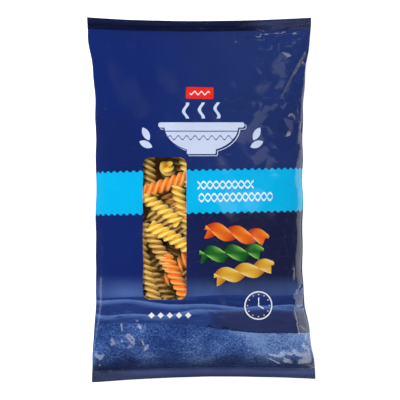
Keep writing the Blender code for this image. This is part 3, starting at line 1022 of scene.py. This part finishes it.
def emblem(colour, u, v):
    """A steaming bowl with two leaves on each side, in pale blue."""
    bowl = bowl_shape(u, v, 0.0)
    outline = most(abs(bowl_shape(u, v, 1.3 * MM)) - 0.25 * MM, 0.6 * MM - bowl)
    stripe = abs(v - 52.5 * MM) - 0.35 * MM
    ornament = least(stripe, abs(v - 47.5 * MM - wavy(u, *BOWL_WAVE)) - 0.4 * MM)
    shape = most(bowl, -ornament)
    for place in STEAM_PLACES:
        sway = sine((v - 0.06) * 520.0 + place) * (1.5 * MM)
        steam = abs(u - place * MM - sway) - 1.25 * MM
        shape = least(shape, most(steam, abs(v - STEAM_V) - STEAM_HALF_HEIGHT))
    for side in (-1.0, 1.0):
        for number, degrees in enumerate(LEAF_HEADINGS):
            centre = (side * LEAF_PLACE[0], LEAF_PLACE[1] - 8.0 * MM * number)
            s, t = turned(u, v, centre, side * degrees)
            leaf = length(s, abs(t) + 4.6 * MM) - 7.2 * MM
            shape = least(shape, leaf)
    return blend(colour, PALE, printed(least(shape, outline)))


def red_tag(colour, u, v):
    """A red tag with a white wave on it."""
    s, t = turned(u, v, TAG_CENTRE, -1.0)
    colour = blend(colour, RED, printed(box_distance(s, t, *TAG_BOX)))
    wave = abs(t - wavy(s, *TAG_WAVE)) - 0.55 * MM
    return blend(colour, WHITE, printed(most(wave, abs(s) - 7.6 * MM)))


def drawn_spiral(colour, u, v, centre, degrees, half_length, stops):
    """One printed pasta spiral: three twisted blades, each shaded by how near to the eye it lies."""
    s, t = turned(u, v, centre, degrees)
    lead = 1.9 * half_length
    nearest = None
    inside = None
    for blade in range(BLADES):
        turn = s * (FULL_TURN / lead) + (blade / BLADES) * FULL_TURN
        reach = PRINTED_RADIUS * turn.math("COSINE")
        share = t / reach
        within = share.math("GREATER_THAN", 0.0) * (1.0 - share.math("GREATER_THAN", 1.0))
        blade_end = half_length * (0.90 + 0.05 * blade)
        within = within * printed(abs(s - 0.25 * t) - blade_end)
        near = (sine(turn) * share + 1.2) * within
        nearest = near if nearest is None else most(nearest, near)
        inside = within if inside is None else most(inside, within)
    tone = clamp((nearest - 0.75) / 1.35)
    paint = tone.node("ValToRGB", {0: tone}, stops=stops)
    shadow = box_distance(s, t, half_length, 0.8 * PRINTED_RADIUS, 0.4 * PRINTED_RADIUS)
    colour = blend(colour, NAVY, 0.75 * printed(shadow - 0.4 * MM, 3.0 * MM))
    return blend(colour, paint, inside)


def dial(colour, u, v):
    """A plain white clock ring with twelve ticks and two hands."""
    du, dv = u - DIAL_CENTRE[0], v - DIAL_CENTRE[1]
    reach = length(du, dv)
    ring = abs(reach - DIAL_RADIUS) - 0.5 * MM
    angle = dv.math("ARCTAN2", du)
    step = (angle / (FULL_TURN / HOURS) + 0.5).math("FRACT") - 0.5
    tick = length(reach - TICK_RADIUS, step * (TICK_RADIUS * FULL_TURN / HOURS)) - 0.42 * MM
    hands = least(*(
        line_distance(u, v, DIAL_CENTRE, (DIAL_CENTRE[0] + right, DIAL_CENTRE[1] + up), 0.45 * MM)
        for right, up in HANDS
    ))
    return blend(colour, WHITE, printed(least(ring, least(tick, hands))))


def small_marks(colour, u, v):
    """A row of small white lozenges, at the scale of fine print."""
    s, t = turned(u, v, LOZENGES_CENTRE, 0.0)
    step = ((s / LOZENGE_PITCH + 0.5).math("FRACT") - 0.5) * LOZENGE_PITCH
    lozenge = abs(step) + abs(t) - LOZENGE_SIZE
    return blend(colour, WHITE, printed(most(lozenge, abs(s) - LOZENGES_REACH)))


def film_print(u, v, chart):
    """The whole print of the film, seals included, where painted shade and sheen take the print's place."""
    colour = sea_of_blue(u, v, noise(chart, 14.0, 2.0))
    colour = landscape(colour, u, v, chart)
    colour = pale_band(colour, u, v)
    colour = emblem(colour, u, v)
    colour = red_tag(colour, u, v)
    for cord in CORDS:
        colour = blend(colour, WHITE, twisted_cord(u, v, *cord))
    for spiral in PRINTED_SPIRALS:
        colour = drawn_spiral(colour, u, v, *spiral)
    colour = dial(colour, u, v)
    colour = small_marks(colour, u, v)
    sealed = rise(abs(v), BODY_END - 0.4 * MM, BODY_END + 0.4 * MM)
    # The top seal is painted dark as shade, a little paler towards its outer edge, with a painted reflection
    # over its right part
    head_seal_shade_and_sheen = blend(HEAD_SEAL_SHADE, SEAL_SHEEN_PALE, rise(u, 0.03, 0.06) + 0.25 * rise(v, 0.1365, 0.1395))
    # The bottom seal is a grey-blue painted sheen, brighter next to the bag, dimmer at its end and at the far
    # left
    foot_seal_sheen = blend(FOOT_SEAL_DIM_SHEEN, FOOT_SEAL_SHEEN, rise(v, -0.1405, -0.1365) * rise(u, -0.08, -0.04))
    return blend(colour, blend(foot_seal_sheen, head_seal_shade_and_sheen, rise(v, -0.01, 0.01)), sealed)


FACETS_PER_METRE = 120.0
FACET_SLOPE = 0.5
FILM_IOR = 1.5
PANE_IOR = 1.35
PANE_ROUGHNESS = 0.12
PANE_TINT = (0.97, 0.97, 0.96, 1.0)


def film_material():
    """Glossy printed film, clear in the window."""
    material, tree, output = new_material("printed_film")
    chart = Wire(tree, None).node("UVMap", uv_map="film_map")
    u = chart.node("SeparateXYZ", {0: chart}, output="X")
    v = Wire(tree, u.socket.node.outputs["Y"])
    colour = film_print(u, v, chart)

    spot_on = Wire(tree, None).node("TexCoord", output="Object")
    x = spot_on.node("SeparateXYZ", {0: spot_on}, output="X")
    y = spot_on.node("SeparateXYZ", {0: spot_on}, output="Y")
    seam = printed(abs(x - CENTRE_AT_TOP) - 0.5 * SEAM_WIDTH) * rise(abs(u), 0.10, 0.11)
    # The fin seam on the back takes the same pale tone as the top seal's painted reflection
    colour = blend(colour, SEAL_SHEEN_PALE, seam)
    ribs = sine(v * (FULL_TURN / CRIMP_PITCH)) * seam * (0.5 * CRIMP_HEIGHT)
    facet = flat_facets(spot_on, FACETS_PER_METRE, FACET_SLOPE)
    relief = facet * crumple_amount(x, y) + fine_creases(x, y) + ribs
    relief = relief + 0.03 * MM * noise(chart, 260.0, 2.0)
    bump = relief.node("Bump", {"Strength": 1.0, "Distance": 1.0, "Height": relief})
    sheen = 0.06 + 0.10 * noise(chart, 60.0, 3.0)
    inked = {"Base Color": colour, "Roughness": sheen, "Normal": bump, "IOR": FILM_IOR}
    ink = u.node("BsdfPrincipled", inked)

    clear = u.node("BsdfTransparent", {"Color": PANE_TINT})
    gloss = u.node("BsdfGlossy", {"Roughness": PANE_ROUGHNESS, "Normal": bump})
    fresnel = u.node("Fresnel", {"IOR": PANE_IOR})
    pane = u.node("MixShader", {0: fresnel, 1: clear, 2: gloss})
    s, t = turned(u, v, WINDOW_CENTRE, 0.0)
    half_s, half_t = 0.5 * WINDOW_SIZE[0], 0.5 * WINDOW_SIZE[1]
    window = printed(box_distance(s, t, half_s, half_t, WINDOW_CORNER))
    surface = u.node("MixShader", {0: window, 1: ink, 2: pane})
    tree.links.new(surface.socket, output.inputs["Surface"])
    return material


# Dried pasta: painted shade in the grooves, its own colour on the blades and a painted highlight at their
# edges, and painted shade deep in the heap
PASTA_SHADE = srgb("#2c1a0c")
PASTA_TONES_SHADE_TO_HIGHLIGHT = {
    "plain": ("#b87810", "#fbcb3c", "#ffe68a"),
    "spinach": ("#5c3c10", "#bf9240", "#ecca7c"),
    "tomato": ("#b8420a", "#fb8a20", "#ffb468"),
}
TONE_PLACES = (0.15, 0.62, 0.97)
SHADE_LEAST = 0.08
LIT_HEIGHTS = (0.0305, 0.040)
# Subsurface, and a faint painted glow in the pasta's own colour that brightens it behind the film
PASTA_FINISH_AND_GLOW = {
    "Subsurface Weight": 0.1,
    "Subsurface Radius": (0.004, 0.002, 0.001),
    "Subsurface Scale": 0.5,
    "Emission Strength": 0.22,
}


def pasta_material(kind):
    """Dried pasta: painted shade in its grooves and deep in the heap, a painted highlight at the blades'
    edges, a faint painted glow, and faint grain.
    """
    material, tree, output = new_material(f"{kind}_pasta")
    stops = tuple(zip(TONE_PLACES, (srgb(code) for code in PASTA_TONES_SHADE_TO_HIGHLIGHT[kind])))
    chart = Wire(tree, None).node("UVMap", uv_map="pasta_map")
    reach = chart.node("SeparateXYZ", {0: chart}, output="Y")
    where = reach.node("TexCoord", output="Object")
    blotch = noise(where, 170.0, 3.0)
    grit = noise(where, 2600.0, 3.0)
    tone = clamp(reach + 0.35 * (blotch - 0.5))
    # The ramp paints shade in the grooves and a highlight at the blades' edges
    colour = tone.node("ValToRGB", {0: tone}, stops=stops)
    height = reach.node("SeparateXYZ", {0: where}, output="Z")
    # Painted shade: darker the lower a spiral lies in the heap
    colour = blend(PASTA_SHADE, colour, SHADE_LEAST + (1.0 - SHADE_LEAST) * rise(height, *LIT_HEIGHTS))
    bump = grit.node("Bump", {"Strength": 0.35, "Distance": 0.2 * MM, "Height": grit})
    # The pasta glows in its own colour: painted light, though it is no lamp
    sockets = {"Base Color": colour, "Emission Color": colour, "Normal": bump, **PASTA_FINISH_AND_GLOW}
    sockets["Roughness"] = 0.5 + 0.15 * blotch
    surface = reach.node("BsdfPrincipled", sockets)
    tree.links.new(surface.socket, output.inputs["Surface"])
    return material


def dress(piece, material, slot, *nodes):
    """Gives a piece its material and its body, and hides the solids it stands for; its slot is not used."""
    piece.data.materials.clear()
    piece.data.materials.append(material)
    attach(piece, "root")
    if nodes:
        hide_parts(*nodes)


# The view: straight down on the bag, as the photo looks at it
SEAL_FIELD = 310.4 * MM
CAMERA_HEIGHT = 1.6
PHOTO_SHIFT = -1.0 * MM
SENSOR = 36.0

# The stage, in metres
FLOOR_SIZE = 8.0
FLOOR_LEVEL = -0.0002
FLOOR_FINISH = {
    "Base Color": (0.9, 0.9, 0.9, 1.0),
    "Roughness": 0.8,
    "Emission Strength": 0.8,
    "Emission Color": (1.0, 1.0, 1.0, 1.0),
}
CARD_LEVEL = 0.0001
CARDS = (
    ("right_card", (0.3, 0.0), (0.4, 0.5)),
    ("left_card", (-0.33, -0.155), (0.34, 0.19)),
)

# The lights: place and size in metres, power in watts, and which surfaces show them
LIGHTS_AIM = Vector((0.0, 0.0, 0.02))
LIGHTS = (
    ("key_light", (-0.7, 0.9, 1.6), (0.6, 0.6), 29.0, "matt"),
    ("fill_light", (0.9, -0.8, 1.6), (1.2, 1.2), 9.0, "matt"),
    ("right_box", (0.86, 0.42, 1.41), (0.6, 0.97), 1.6, "all"),
    ("low_right_box", (1.35, -0.75, 0.55), (0.5, 0.45), 0.7, "all"),
    ("corner_lamp", (0.6, 1.1, 1.15), (0.3, 0.3), 0.25, "all"),
    ("foot_lamp", (-0.9, -0.9, 1.2), (0.4, 0.3), 2.2, "all"),
    ("ceiling_box", (0.25, 0.55, 1.75), (0.8, 0.25), 0.16, "all"),
    ("top_strip", (0.6, 1.3, 0.12), (0.8, 0.12), 1.8, "glossy"),
    ("top_corner_strip", (1.0, 1.15, 0.27), (0.9, 0.36), 4.0, "glossy"),
    ("foot_corner_strip", (1.15, -1.0, 0.27), (2.2, 0.36), 11.7, "glossy"),
    ("left_corner_strip", (-1.1, -1.0, 0.27), (0.9, 0.36), 4.0, "glossy"),
)
ROOM_COLOUR = (0.9, 0.94, 1.0, 1.0)
ROOM_GLOW = 0.08


def make_camera():
    bpy.ops.object.camera_add(location=(PHOTO_SHIFT, 0.0, CAMERA_HEIGHT), rotation=(0.0, 0.0, 0.0))
    camera = bpy.context.active_object
    camera.name = "camera"
    camera.data.sensor_width = SENSOR
    camera.data.lens = SENSOR * (CAMERA_HEIGHT - SEAL_HEIGHT) / SEAL_FIELD
    camera.data.clip_end = 20.0
    bpy.context.scene.camera = camera


def make_floor():
    """A plain white floor that glows a little, like a lit sweep."""
    bpy.ops.object.select_all(action="DESELECT")
    bpy.ops.mesh.primitive_plane_add(size=FLOOR_SIZE, location=(0.0, 0.0, FLOOR_LEVEL))
    floor = bpy.context.active_object
    floor.name = "floor"
    material, tree, output = new_material("white_floor")
    surface = Wire(tree, None).node("BsdfPrincipled", FLOOR_FINISH)
    tree.links.new(surface.socket, output.inputs["Surface"])
    floor.data.materials.append(material)
    floor.visible_glossy = False


def make_cards():
    """White cards on the floor beside the bag, which only its glossy edges show."""
    for name, middle, size in CARDS:
        bpy.ops.object.select_all(action="DESELECT")
        bpy.ops.mesh.primitive_plane_add(size=1.0, location=(*middle, CARD_LEVEL))
        card = bpy.context.active_object
        card.name = name
        card.scale = (*size, 1.0)
        card.data.materials.append(bpy.data.materials["white_floor"])
        card.visible_camera = False
        card.visible_shadow = False


def make_lights():
    """Soft boxes and low strips, aimed at the bag, and a dim pale room."""
    for name, place, size, power, shown_by in LIGHTS:
        bpy.ops.object.light_add(type="AREA", location=place)
        light = bpy.context.active_object
        light.name = name
        light.data.shape = "RECTANGLE"
        light.data.size, light.data.size_y = size
        light.data.energy = power
        light.rotation_euler = (LIGHTS_AIM - Vector(place)).to_track_quat("-Z", "Y").to_euler()
        light.visible_glossy = shown_by != "matt"
        light.visible_diffuse = shown_by != "glossy"
    world = bpy.context.scene.world or bpy.data.worlds.new("room")
    bpy.context.scene.world = world
    world.use_nodes = True
    background = world.node_tree.nodes["Background"]
    background.inputs["Color"].default_value = ROOM_COLOUR
    background.inputs["Strength"].default_value = ROOM_GLOW
    bpy.context.scene.view_settings.view_transform = "Standard"


make_camera()
make_floor()
make_cards()
make_lights()

film = make_film()
dress(film, film_material(), "printed_film", "bag")
for heap in make_pasta():
    dress(heap, pasta_material(heap.name.removeprefix("spirals_")), "dried_pasta", "pasta")
